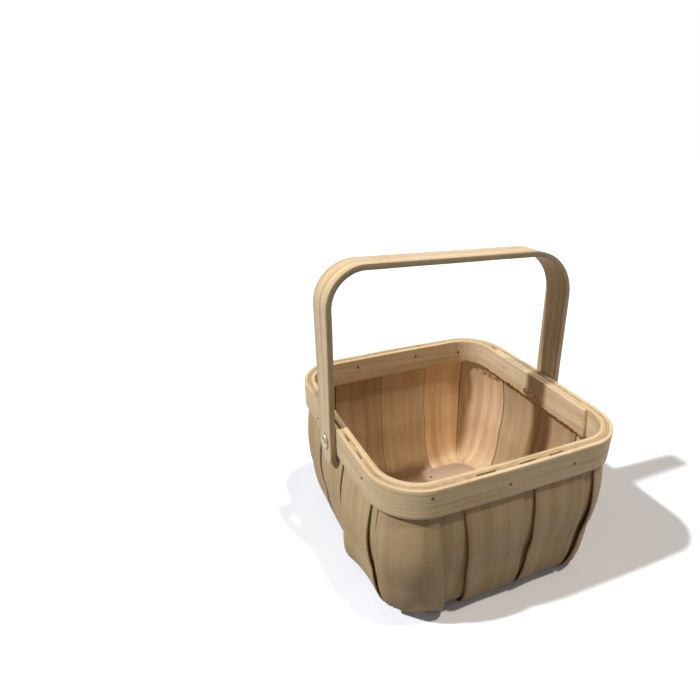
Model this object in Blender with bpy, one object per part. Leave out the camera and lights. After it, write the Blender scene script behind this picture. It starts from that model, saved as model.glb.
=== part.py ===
# Berry basket: bent veneer slats held between two bentwood rim hoops, a thin floor panel
# and a bentwood bail handle that swings on two brass split rivets.
# Metres, +Z up. The origin is on the surface it stands on, under the middle of the rim.
# The front is -Y, the right is +X, the back is +Y and the left is -X.

import math

import bmesh
import bpy
from mathutils import Vector

for item in list(bpy.data.objects):
    bpy.data.objects.remove(item, do_unlink=True)

# Whole basket
basket_height = 0.138
rim_half_width = 0.1
rim_bow = 0.002
rim_corner_radius = 0.035
fit_gap = 0.0003

# Rim hoops
outer_hoop_height = 0.0235
outer_hoop_thickness = 0.003
outer_hoop_lap_length = 0.056
outer_hoop_thin_end = 0.0008
outer_hoop_ramp_length = 0.006
inner_hoop_height = 0.0238
inner_hoop_thickness = 0.0032
inner_hoop_step_length = 0.011
inner_hoop_end_slant = 0.0035
hoop_edge_radius = 0.0007

# Veneer slats
outer_slat_thickness = 0.0012
inner_slat_thickness = 0.001
slat_top_drop = 0.0006
flange_length = 0.021
wall_bulge = 0.0034
base_inset = 0.0247

# Flat end of the front left corner slat
flap_left_lift = 0.009
flap_stand_off = 0.0046

# Floor panel, held clear of the wall's inner face
panel_side_clearance = 0.0035
panel_end_clearance = 0.0115
panel_thickness = 0.003
panel_corner_radius = 0.021
panel_edge_radius = 0.0008

# Bail handle
handle_width = 0.0221
handle_thickness = 0.0042
handle_side_clearance = 0.0005
handle_edge_radius = 0.001
handle_top_above_rim = 0.1228
handle_right_drop = 0.0066
handle_left_bend_radius = 0.0305
handle_right_bend_radius = 0.0415
pivot_below_rim = 0.0158
handle_tail_length = 0.0155
handle_rest_tilt_deg = 2.5

# Split rivets
rivet_head_radius = 0.0063
rivet_head_height = 0.0024
rivet_rim_height = 0.0005
rivet_shank_radius = 0.002
rivet_hole_clearance = 0.0003
prong_reach = 0.0066
prong_width = 0.0026
prong_thickness = 0.0009
prong_tip_lift = 0.0007
cutter_overrun = 0.004

# Shape of the wall, as shares of its drop from the hoop to the floor
bulge_end_share = 0.57
bend_start_share = 0.05
bend_power_share = 3.5
bend_root_share = 2.1

# Places along a side run from -1 at its left corner to 1 at its right corner, seen from outside
front_outer_shares = ((-0.40, 0.05), (0.15, 0.60))
front_inner_shares = ((-0.63, -0.18), (-0.15, 0.34), (0.36, 0.65))
right_outer_shares = ((-0.70, -0.27), (-0.22, 0.22), (0.27, 0.70))
right_inner_shares = ((-0.50, -0.055), (-0.045, 0.50))
back_outer_shares = ((-0.62, -0.20), (-0.15, 0.28), (0.33, 0.70))
back_inner_shares = ((-0.82, -0.37), (-0.355, 0.13), (0.14, 0.62))
left_outer_shares = ((-0.72, -0.30), (-0.26, 0.18), (0.21, 0.70))
left_inner_shares = ((-0.62, -0.14), (-0.12, 0.34), (0.36, 0.775))

# Corner slats run from a place on one side to a place on the next
front_right_outer_shares = (0.72, -0.75)
right_back_outer_shares = (0.74, -0.68)
back_left_outer_shares = (0.74, -0.76)
left_front_outer_shares = (0.81, -0.62)
front_right_inner_shares = (0.74, -0.515)
right_back_inner_shares = (0.515, -0.835)
back_left_inner_shares = (0.635, -0.635)
left_front_inner_shares = (0.79, -0.645)

# The corner slat behind the flat one is cut short, and the flat one ends before it turns under
short_corner_end_share = 0.66
flap_end_share = 0.93
flap_spread_share = 5
flap_slide_share = 1.7
flap_left_end_shares = (-0.82, -0.73)
flap_right_end_shares = (-0.45, -0.85)

# Slats that run askew: how far their left and right edges have moved along the side at the floor
askew_shares = {
    "outer_slat_front_1": (0.14, 0.14),
    "outer_slat_front_2": (0.06, 0.06),
    "inner_slat_front_1": (0.06, 0.0),
}

# How much less the wall draws in round each corner than along the sides
corner_fullness_shares = {"front_right": 0.3, "back_right": 0.2, "back_left": 0.05, "front_left": 0.1}
fullness_reach_share = 0.2

# The inner hoop laps itself on the right side, the outer hoop on the back
inner_lap_start_share = 0.60
inner_lap_end_share = -0.655
outer_lap_middle_share = 0.02

# How finely the pieces are divided
wall_rows = 11
flange_rows = 1
straight_steps = 5
corner_steps = 4
least_step_share = 0.012
bend_steps = 10
round_sides = 24
hole_sides = 20

hoop_bottom = basket_height - outer_hoop_height
outer_slat_depth = outer_hoop_thickness + fit_gap
inner_slat_depth = outer_slat_depth + outer_slat_thickness + fit_gap
inner_hoop_depth = inner_slat_depth + inner_slat_thickness + fit_gap
rim_depth = inner_hoop_depth + inner_hoop_thickness
lap_depth = rim_depth + fit_gap + inner_hoop_thickness
rim_half_middle = rim_half_width + rim_bow
front_outer_level = 0.0
side_outer_level = front_outer_level + outer_slat_thickness + fit_gap
front_inner_level = side_outer_level + outer_slat_thickness + fit_gap
side_inner_level = front_inner_level + inner_slat_thickness + fit_gap
panel_level = side_inner_level + inner_slat_thickness + fit_gap
pivot_height = basket_height - pivot_below_rim
handle_inner_half = rim_half_middle + handle_side_clearance
handle_outer_half = handle_inner_half + handle_thickness


def wood(name, colour, roughness):
    made = bpy.data.materials.new(name)
    made.use_nodes = True
    shader = made.node_tree.nodes["Principled BSDF"]
    shader.inputs["Base Color"].default_value = (*colour, 1.0)
    shader.inputs["Roughness"].default_value = roughness
    shader.inputs["Metallic"].default_value = 0.0
    made.diffuse_color = (*colour, 1.0)
    return made


hoop_wood = wood("hoop_wood", (0.66, 0.50, 0.32), 0.55)
slat_wood = wood("slat_wood", (0.55, 0.38, 0.22), 0.6)
inner_slat_wood = wood("inner_slat_wood", (0.58, 0.37, 0.21), 0.6)
panel_wood = wood("panel_wood", (0.60, 0.36, 0.22), 0.6)
handle_wood = wood("handle_wood", (0.64, 0.49, 0.32), 0.5)
brass = wood("brass", (0.72, 0.53, 0.28), 0.3)
brass.node_tree.nodes["Principled BSDF"].inputs["Metallic"].default_value = 1.0


def finish(name, shape, material, sharp_deg=40):
    bmesh.ops.recalc_face_normals(shape, faces=shape.faces)
    mesh = bpy.data.meshes.new(name)
    shape.to_mesh(mesh)
    shape.free()
    mesh.materials.append(material)
    mesh.shade_smooth()
    mesh.set_sharp_from_angle(angle=math.radians(sharp_deg))
    made = bpy.data.objects.new(name, mesh)
    bpy.context.scene.collection.objects.link(made)
    return made


def corner_share():
    return 1 - rim_corner_radius / rim_half_width


def side_position(side, share):
    return side + (1 + share) / 2


def side_axes(side):
    turn = math.pi / 2 * side
    along = Vector((math.cos(turn), math.sin(turn), 0))
    out = Vector((math.sin(turn), -math.cos(turn), 0))
    return along, out


# A point on the rim's plan, at a depth inside the outer hoop's outer face.
# The position counts the sides: 0 to 1 is the front, 1 to 2 the right, and so on round.
def rim_place(position, depth):
    side = math.floor(position)
    share = 2 * (position - side) - 1
    straight = rim_half_width - rim_corner_radius
    start = corner_share()
    turn = 0.0
    along = share * rim_half_width
    out = rim_half_width
    if abs(share) > start:
        turn = math.copysign((abs(share) - start) / (1 - start) * math.pi / 4, share)
        along = math.copysign(straight, share) + rim_corner_radius * math.sin(turn)
        out = straight + rim_corner_radius * math.cos(turn)
    along_share = along / rim_half_width
    out_share = out / rim_half_width
    out += rim_bow * (1 - along_share**2) * out_share**2
    along += rim_bow * (1 - out_share**2) * along_share * abs(along_share)
    out -= depth * math.cos(turn)
    along -= depth * math.sin(turn)
    along_axis, out_axis = side_axes(side)
    return along_axis * along + out_axis * out


# Positions round the rim between two ends, close together on the corners, with any that must be there
def rim_positions(start, end, needed=()):
    marks = set()
    edge = corner_share()
    for side in range(math.floor(start) - 1, math.ceil(end) + 1):
        for step in range(straight_steps + 1):
            marks.add(side_position(side, edge * (2 * step / straight_steps - 1)))
        for step in range(1, corner_steps + 1):
            share = edge + (1 - edge) * step / corner_steps
            marks.add(side_position(side, share))
            marks.add(side_position(side, -share))
    kept = [start, *needed, end]
    for mark in sorted(marks):
        if start < mark < end and all(abs(mark - other) > least_step_share for other in kept):
            kept.append(mark)
    return sorted(kept)


# Joins rings of points, each with the same number, into one tube with closed ends
def sweep(name, rings, material, sharp_deg=40):
    shape = bmesh.new()
    rows = [[shape.verts.new(point) for point in ring] for ring in rings]
    for first, second in zip(rows, rows[1:]):
        count = len(first)
        for i in range(count):
            j = (i + 1) % count
            shape.faces.new((first[i], first[j], second[j], second[i]))
    shape.faces.new(list(reversed(rows[0])))
    shape.faces.new(rows[-1])
    return finish(name, shape, material, sharp_deg)


# The rounded section of a bent strip, between an outer and an inner depth
def strip_section(outer, inner, low, high, edge):
    cut = min(edge, (inner - outer) * 0.3)
    mid = cut * (1 - math.sqrt(0.5))
    return [
        (outer, low + cut),
        (outer, high - cut),
        (outer + mid, high - mid),
        (outer + cut, high),
        (inner - cut, high),
        (inner - mid, high - mid),
        (inner, high - cut),
        (inner, low + cut),
        (inner - mid, low + mid),
        (inner - cut, low),
        (outer + cut, low),
        (outer + mid, low + mid),
    ]


def hoop_ring(position, outer, inner, low, high):
    ring = []
    for depth, height in strip_section(outer, inner, low, high, hoop_edge_radius):
        point = rim_place(position, depth)
        ring.append((point.x, point.y, height))
    return ring


# Outer hoop: its ends are thinned and lapped on the back
def build_outer_hoop():
    lap = outer_hoop_lap_length / rim_half_width / 2
    middle = side_position(2, outer_lap_middle_share)
    start = middle - lap / 2
    end = middle + 4 + lap / 2
    travel = outer_hoop_thickness - fit_gap - 2 * outer_hoop_thin_end
    rings = []
    ramp = outer_hoop_ramp_length / rim_half_width / 2
    needed = (start + lap, start + lap + ramp, end - lap - ramp, end - lap)
    for position in rim_positions(start, end, needed):
        outer = 0.0
        inner = outer_hoop_thickness
        if position < start + lap + ramp:
            under = max(0, 1 - (position - start) / lap)
            outer = outer_hoop_thin_end + fit_gap + travel * under
        if position > end - lap - ramp:
            under = min(1, (end - position) / lap)
            inner = outer_hoop_thin_end + travel * under
        rings.append(hoop_ring(position, outer, inner, hoop_bottom, basket_height))
    return sweep("outer_hoop", rings, hoop_wood)


# Inner hoop: one strip that goes once round and then laps inside its own start
def build_inner_hoop():
    start = side_position(1, inner_lap_end_share)
    end = side_position(5, inner_lap_start_share)
    step = inner_hoop_step_length / rim_half_width / 2
    low = basket_height - inner_hoop_height
    lap_shift = inner_hoop_thickness + fit_gap
    lap_stop = side_position(1, inner_lap_start_share) + step / 4
    rings = []
    positions = rim_positions(start, end, [lap_stop + step * part / 4 for part in range(5)])
    slant = inner_hoop_end_slant
    for position in positions:
        moved = min(max((lap_stop + step - position) / step, 0), 1)
        shift = lap_shift * moved * moved * (3 - 2 * moved)
        ring = hoop_ring(
            position, inner_hoop_depth + shift, rim_depth + shift, low, basket_height
        )
        if position == start:
            ring = [
                (x, y + slant * (height - low) / inner_hoop_height, height)
                for x, y, height in ring
            ]
        rings.append(ring)
    return sweep("inner_hoop", rings, hoop_wood)


# How far the wall has drawn in below the hoop, at a share of its drop
def wall_curve(share):
    bulge = wall_bulge * math.sin(math.pi * min(share / bulge_end_share, 1))
    bend = max(0, (share - bend_start_share) / (1 - bend_start_share))
    drawn = 1 - (1 - bend**bend_power_share) ** (1 / bend_root_share)
    return base_inset * drawn - bulge


# The wall stands fuller near a corner, by the same amount for every slat there
def eased_depth(position, row_depth, depth):
    corner = round(position)
    name = ("front_left", "front_right", "back_right", "back_left")[corner % 4]
    near = max(0, 1 - abs(position - corner) / fullness_reach_share)
    ease = corner_fullness_shares[name] * near * near * (3 - 2 * near)
    return row_depth - ease * max(0, row_depth - depth)


# Depth, height and reach under the floor of each row of a slat
def slat_rows(depth, level, end_share, flange):
    rows = [(depth, basket_height - slat_top_drop, 0.0), (depth, hoop_bottom, 0.0)]
    last = math.asin(end_share)
    for row in range(1, wall_rows + 1):
        share = min(math.sin(last * row / wall_rows), 1)
        rows.append((depth + wall_curve(share), hoop_bottom - share * (hoop_bottom - level), 0.0))
    for row in range(1, flange_rows + 1):
        if flange > 0:
            rows.append((rows[-1][0], level, flange * row / flange_rows))
    return rows


# A grid shaped by a function of row and column, made solid towards the inside
def skin(name, rows, columns, place, thickness, material):
    shape = bmesh.new()
    grid = [[shape.verts.new(place(r, c)) for c in range(columns)] for r in range(rows)]
    for r in range(rows - 1):
        for c in range(columns - 1):
            shape.faces.new((grid[r][c], grid[r + 1][c], grid[r + 1][c + 1], grid[r][c + 1]))
    mesh = bpy.data.meshes.new(name)
    shape.to_mesh(mesh)
    shape.free()
    mesh.materials.append(material)
    mesh.shade_smooth()
    made = bpy.data.objects.new(name, mesh)
    bpy.context.scene.collection.objects.link(made)
    solid = made.modifiers.new("thickness", "SOLIDIFY")
    solid.thickness = thickness
    solid.offset = -1
    solid.use_even_offset = True
    return made


def build_slat(name, start, end, depth, level, thickness, material, flange, end_share=1.0):
    rows = slat_rows(depth, level, end_share, flange)
    side = math.floor((start + end) / 2)
    out = side_axes(side)[1]
    marks = rim_positions(start, end)
    left_askew, right_askew = askew_shares.get(name, (0.0, 0.0))

    def place(row, column):
        row_depth, height, reach = rows[row]
        drop = min(max((hoop_bottom - height) / (hoop_bottom - level), 0), 1)
        across = (marks[column] - start) / (end - start)
        mark = marks[column] + (left_askew + (right_askew - left_askew) * across) / 2 * drop
        point = rim_place(mark, eased_depth(mark, row_depth, depth)) - out * reach
        return Vector((point.x, point.y, height))

    return skin(name, len(rows), len(marks), place, thickness, material)


# The front left corner slat leaves the curve and ends in a straight cut on the floor
def build_flap():
    start = side_position(-1, left_front_outer_shares[0])
    end = side_position(0, left_front_outer_shares[1])
    marks = rim_positions(start, end)
    rows = slat_rows(outer_slat_depth, front_outer_level, flap_end_share, 0.0)
    left = Vector([share * rim_half_width for share in flap_left_end_shares]).to_3d()
    right = Vector([share * rim_half_width for share in flap_right_end_shares]).to_3d()
    left.z = flap_left_lift

    def place(row, column):
        row_depth, height, _ = rows[row]
        across = (marks[column] - start) / (end - start)
        across = across * across * (3 - 2 * across) * 0.4 + across * 0.6
        drop = max(0, (hoop_bottom - height) / (hoop_bottom - rows[-1][1]))
        spread = drop**flap_spread_share
        depth = eased_depth(marks[column], row_depth, outer_slat_depth)
        bent = rim_place(marks[column], depth - flap_stand_off * drop)
        last = rim_place(marks[column], eased_depth(marks[column], rows[-1][0], outer_slat_depth) - flap_stand_off)
        cut = left.lerp(right, across)
        fall = max(0, 2 * across - 1)
        fall = fall * fall * (3 - 2 * fall)
        slide = drop ** (flap_spread_share + (flap_slide_share - flap_spread_share) * fall)
        bent += Vector(((cut.x - last.x) * slide, (cut.y - last.y) * spread, 0))
        return Vector((bent.x, bent.y, height + (cut.z - rows[-1][1]) * drop))

    return skin(
        "outer_slat_front_left_corner", len(rows), len(marks), place,
        outer_slat_thickness, slat_wood,
    )


# Floor panel lying on the slats' turned-in ends
def build_panel():
    shape = bmesh.new()
    ring = []
    floor_share = (hoop_bottom - panel_level) / (hoop_bottom - side_inner_level)
    wall_half = rim_half_middle - inner_slat_depth - inner_slat_thickness - wall_curve(floor_share)
    panel_half_width = wall_half - panel_side_clearance
    panel_half_depth = wall_half - panel_end_clearance
    straight_x = panel_half_width - panel_corner_radius
    straight_y = panel_half_depth - panel_corner_radius
    for sign_x, sign_y, quarter in ((1, 1, 0), (-1, 1, 1), (-1, -1, 2), (1, -1, 3)):
        for step in range(7):
            turn = math.pi / 2 * (quarter + step / 6)
            x = sign_x * straight_x + panel_corner_radius * math.cos(turn)
            y = sign_y * straight_y + panel_corner_radius * math.sin(turn)
            ring.append(shape.verts.new((x, y, panel_level)))
    face = shape.faces.new(ring)
    raised = bmesh.ops.extrude_face_region(shape, geom=[face])
    top = [item for item in raised["geom"] if isinstance(item, bmesh.types.BMVert)]
    bmesh.ops.translate(shape, verts=top, vec=(0, 0, panel_thickness))
    made = finish("bottom_panel", shape, panel_wood)
    rounding = made.modifiers.new("rounding", "BEVEL")
    rounding.width = panel_edge_radius
    rounding.segments = 2
    rounding.limit_method = "ANGLE"
    return made


# The handle's middle line, seen from the front, with the strip's outward direction
def handle_line():
    tail = -handle_tail_length
    left_top = handle_top_above_rim + pivot_below_rim
    right_top = left_top - handle_right_drop
    left_bend = handle_left_bend_radius
    right_bend = handle_right_bend_radius
    half = handle_outer_half
    points = []
    end_radius = handle_width / 2
    for step in range(1, 7):
        turn = math.pi / 12 * step
        points.append((-half, tail + end_radius * (1 - math.cos(turn)), math.pi, math.sin(turn)))
    for step in range(1, 5):
        reach = left_top - left_bend - tail - end_radius
        points.append((-half, tail + end_radius + reach * step / 4, math.pi, 1.0))
    slope = math.atan2(handle_right_drop, 2 * half - left_bend - right_bend)
    for step in range(1, bend_steps + 1):
        turn = math.pi - (math.pi / 2 + slope) * step / bend_steps
        x = -half + left_bend + left_bend * math.cos(turn)
        points.append((x, left_top - left_bend + left_bend * math.sin(turn), turn, 1.0))
    start_x, start_z = points[-1][0], points[-1][1]
    last_x = half - right_bend + right_bend * math.cos(math.pi / 2 - slope)
    last_z = right_top - right_bend + right_bend * math.sin(math.pi / 2 - slope)
    for step in range(1, 4):
        share = step / 4
        points.append((start_x + (last_x - start_x) * share, start_z + (last_z - start_z) * share,
                       math.pi / 2 - slope, 1.0))
    for step in range(bend_steps + 1):
        turn = (math.pi / 2 - slope) * (1 - step / bend_steps)
        x = half - right_bend + right_bend * math.cos(turn)
        points.append((x, right_top - right_bend + right_bend * math.sin(turn), turn, 1.0))
    for step in range(1, 5):
        reach = right_top - right_bend - tail - end_radius
        points.append((half, right_top - right_bend - reach * step / 4, 0.0, 1.0))
    for step in range(5, 0, -1):
        turn = math.pi / 12 * step
        points.append((half, tail + end_radius * (1 - math.cos(turn)), 0.0, math.sin(turn)))
    return points


def build_handle():
    rings = []
    half_width = handle_width / 2
    for x, z, turn, share in handle_line():
        ring = []
        width = half_width * share
        edge = min(handle_edge_radius, width / 2)
        for depth, across in strip_section(0.0, handle_thickness, -width, width, edge):
            ring.append((x - depth * math.cos(turn), across, z - depth * math.sin(turn)))
        rings.append(ring)
    made = sweep("handle", rings, handle_wood)
    made.location = (0, 0, pivot_height)
    made.rotation_euler = (-math.radians(handle_rest_tilt_deg), 0, 0)
    return made


# A split rivet along X: domed head outside the handle, shank through the rim, prongs inside
def build_rivet(name, direction, inner_half):
    head_face = handle_outer_half + fit_gap
    prong_face = inner_half - fit_gap
    profile = [(head_face + rivet_head_height, 0.0)]
    for step in range(1, 6):
        turn = math.pi / 2 * step / 5
        dome = rivet_head_height - rivet_rim_height
        profile.append(
            (head_face + rivet_rim_height + dome * math.cos(turn), rivet_head_radius * math.sin(turn))
        )
    profile.append((head_face, rivet_head_radius))
    profile.append((head_face, rivet_shank_radius))
    profile.append((prong_face - prong_thickness / 2, rivet_shank_radius))
    profile.append((prong_face - prong_thickness / 2, 0.0))
    shape = bmesh.new()
    points = [shape.verts.new((x * direction, y, pivot_height)) for x, y in profile]
    edges = [shape.edges.new(pair) for pair in zip(points, points[1:])]
    bmesh.ops.spin(
        shape, geom=points + edges, cent=(0, 0, pivot_height), axis=(1, 0, 0),
        angle=2 * math.pi, steps=round_sides, use_merge=True,
    )
    bmesh.ops.remove_doubles(shape, verts=shape.verts, dist=fit_gap / 100)
    made = finish(name, shape, brass)

    rings = []
    for step in range(-4, 5):
        reach = step / 4
        taper = 1 - 0.72 * abs(reach) ** 4
        lift = prong_tip_lift * (abs(reach) * (1 - abs(reach)) * 4 - reach**2 * 0)
        outer = prong_face - lift
        inner = outer - prong_thickness * (1 - 0.4 * abs(reach))
        half = prong_width / 2 * taper
        y = prong_reach * reach
        rings.append([
            (outer * direction, y, pivot_height - half),
            (outer * direction, y, pivot_height + half),
            (inner * direction, y, pivot_height + half * 0.7),
            (inner * direction, y, pivot_height - half * 0.7),
        ])
    prongs = sweep(name + "_prongs", rings, brass)
    prongs.hide_render = True
    prongs.display_type = "WIRE"
    union = made.modifiers.new("prongs", "BOOLEAN")
    union.operation = "UNION"
    union.object = prongs
    return made


# Round cutters for the rivet holes through the rim and the handle
def hole_cutter(direction):
    shape = bmesh.new()
    length = handle_outer_half - rim_half_middle + lap_depth + 2 * cutter_overrun
    radius = rivet_shank_radius + rivet_hole_clearance
    bmesh.ops.create_cone(
        shape, cap_ends=True, segments=hole_sides, radius1=radius, radius2=radius, depth=length,
    )
    name = "left_hole_cutter" if direction < 0 else "right_hole_cutter"
    made = finish(name, shape, brass)
    middle = (handle_outer_half + rim_half_middle - lap_depth) / 2
    made.rotation_euler = (0, math.pi / 2, 0)
    made.location = (direction * middle, 0, pivot_height)
    made.hide_render = True
    made.display_type = "WIRE"
    return made


left_cutter = hole_cutter(-1)
right_cutter = hole_cutter(1)


def drill(made, cutter):
    cut = made.modifiers.new("rivet_hole", "BOOLEAN")
    cut.operation = "DIFFERENCE"
    cut.object = cutter


outer_hoop = build_outer_hoop()
inner_hoop = build_inner_hoop()
for hoop in (outer_hoop, inner_hoop):
    drill(hoop, left_cutter)
    drill(hoop, right_cutter)

sides = (
    ("front", 0, front_outer_shares, front_inner_shares, front_outer_level, front_inner_level),
    ("right", 1, right_outer_shares, right_inner_shares, side_outer_level, side_inner_level),
    ("back", 2, back_outer_shares, back_inner_shares, front_outer_level, front_inner_level),
    ("left", 3, left_outer_shares, left_inner_shares, side_outer_level, side_inner_level),
)
for side_name, side, outer_shares, inner_shares, outer_level, inner_level in sides:
    layers = (
        ("outer", outer_shares, outer_slat_depth, outer_level, outer_slat_thickness, slat_wood),
        ("inner", inner_shares, inner_slat_depth, inner_level, inner_slat_thickness, inner_slat_wood),
    )
    for layer, shares, depth, level, thickness, material in layers:
        for number, (first, last) in enumerate(shares, 1):
            slat = build_slat(
                f"{layer}_slat_{side_name}_{number}", side_position(side, first),
                side_position(side, last), depth, level, thickness, material, flange_length,
            )
            if first < 0 < last and side_name == "left":
                drill(slat, left_cutter)
            if first < 0 < last and side_name == "right":
                drill(slat, right_cutter)

build_flap()
corners = (
    ("front_right", 0, front_right_outer_shares, front_right_inner_shares, 1.0),
    ("back_right", 1, right_back_outer_shares, right_back_inner_shares, 1.0),
    ("back_left", 2, back_left_outer_shares, back_left_inner_shares, 1.0),
    ("front_left", 3, None, left_front_inner_shares, short_corner_end_share),
)
for corner_name, side, outer_shares, inner_shares, end_share in corners:
    if outer_shares:
        build_slat(
            f"outer_slat_{corner_name}_corner", side_position(side, outer_shares[0]),
            side_position(side + 1, outer_shares[1]), outer_slat_depth, front_outer_level,
            outer_slat_thickness, slat_wood, 0.0,
        )
    build_slat(
        f"inner_slat_{corner_name}_corner", side_position(side, inner_shares[0]),
        side_position(side + 1, inner_shares[1]), inner_slat_depth, front_inner_level,
        inner_slat_thickness, inner_slat_wood, 0.0, end_share,
    )

build_panel()
handle = build_handle()
drill(handle, left_cutter)
drill(handle, right_cutter)
build_rivet("rivet_left", -1, rim_half_middle - rim_depth)
build_rivet("rivet_right", 1, rim_half_middle - lap_depth)
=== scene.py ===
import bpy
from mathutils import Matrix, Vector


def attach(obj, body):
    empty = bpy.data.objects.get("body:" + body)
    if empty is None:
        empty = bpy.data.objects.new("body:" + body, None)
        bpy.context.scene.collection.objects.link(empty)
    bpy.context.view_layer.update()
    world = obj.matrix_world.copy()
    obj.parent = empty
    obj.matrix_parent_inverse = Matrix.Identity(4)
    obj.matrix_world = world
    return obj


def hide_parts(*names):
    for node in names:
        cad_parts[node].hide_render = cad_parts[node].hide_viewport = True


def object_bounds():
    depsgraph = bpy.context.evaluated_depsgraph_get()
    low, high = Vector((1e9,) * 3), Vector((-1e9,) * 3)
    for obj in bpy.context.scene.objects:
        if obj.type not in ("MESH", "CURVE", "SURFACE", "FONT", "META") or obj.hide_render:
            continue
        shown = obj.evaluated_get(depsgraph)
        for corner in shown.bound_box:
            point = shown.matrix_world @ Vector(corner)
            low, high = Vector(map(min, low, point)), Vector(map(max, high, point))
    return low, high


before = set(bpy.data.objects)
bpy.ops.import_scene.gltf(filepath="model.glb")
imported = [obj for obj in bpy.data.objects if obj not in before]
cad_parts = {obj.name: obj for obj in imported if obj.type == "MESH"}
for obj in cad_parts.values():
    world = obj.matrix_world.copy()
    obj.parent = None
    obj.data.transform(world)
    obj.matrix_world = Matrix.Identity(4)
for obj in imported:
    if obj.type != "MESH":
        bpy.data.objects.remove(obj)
cadBox = [list(corner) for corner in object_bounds()]

import bisect
import math
import random

import bmesh
import bpy
from mathutils import Matrix, Vector, noise

random.seed(7)

# the rim and the wall, in metres, front is -Y and left is -X
basket = {
    "top": 0.138, "halfWidth": 0.1, "bow": 0.002, "cornerRadius": 0.035,
    "hoopBottom": 0.1145, "gap": 0.0003,
    "bulge": 0.0034, "bulgeEnd": 0.57, "baseInset": 0.0247,
    "bendStart": 0.05, "bendPower": 3.5, "bendRoot": 2.1,
    "pivot": 0.1222, "flange": 0.021,
    "cornerFullness": (0.1, 0.62, 0.2, 0.05), "sideFullness": (0.15, 0, 0, 0), "fullnessReach": 0.2,
    "cornerFlatness": (0, 0, 0, 1.1),
}
depths = {"outerSlat": 0.0033, "innerSlat": 0.0048, "innerHoop": 0.0061}


def linear(code, alpha=1.0):
    values = [int(code[i:i + 2], 16) / 255 for i in (1, 3, 5)]
    return (*[v / 12.92 if v <= 0.04045 else ((v + 0.055) / 1.055) ** 2.4 for v in values], alpha)


def addNode(tree, kind, settings=None, inputs=None, links=None, stops=None):
    node = tree.nodes.new(kind)
    for key, value in (settings or {}).items():
        setattr(node, key, value)
    for key, value in (inputs or {}).items():
        node.inputs[key].default_value = value
    for key, source in (links or {}).items():
        tree.links.new(source, node.inputs[key])
    for number, (place, colour) in enumerate(stops or ()):
        elements = node.color_ramp.elements
        element = elements[number] if number < len(elements) else elements.new(place)
        element.position = place
        element.color = linear(colour)
    return node


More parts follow.
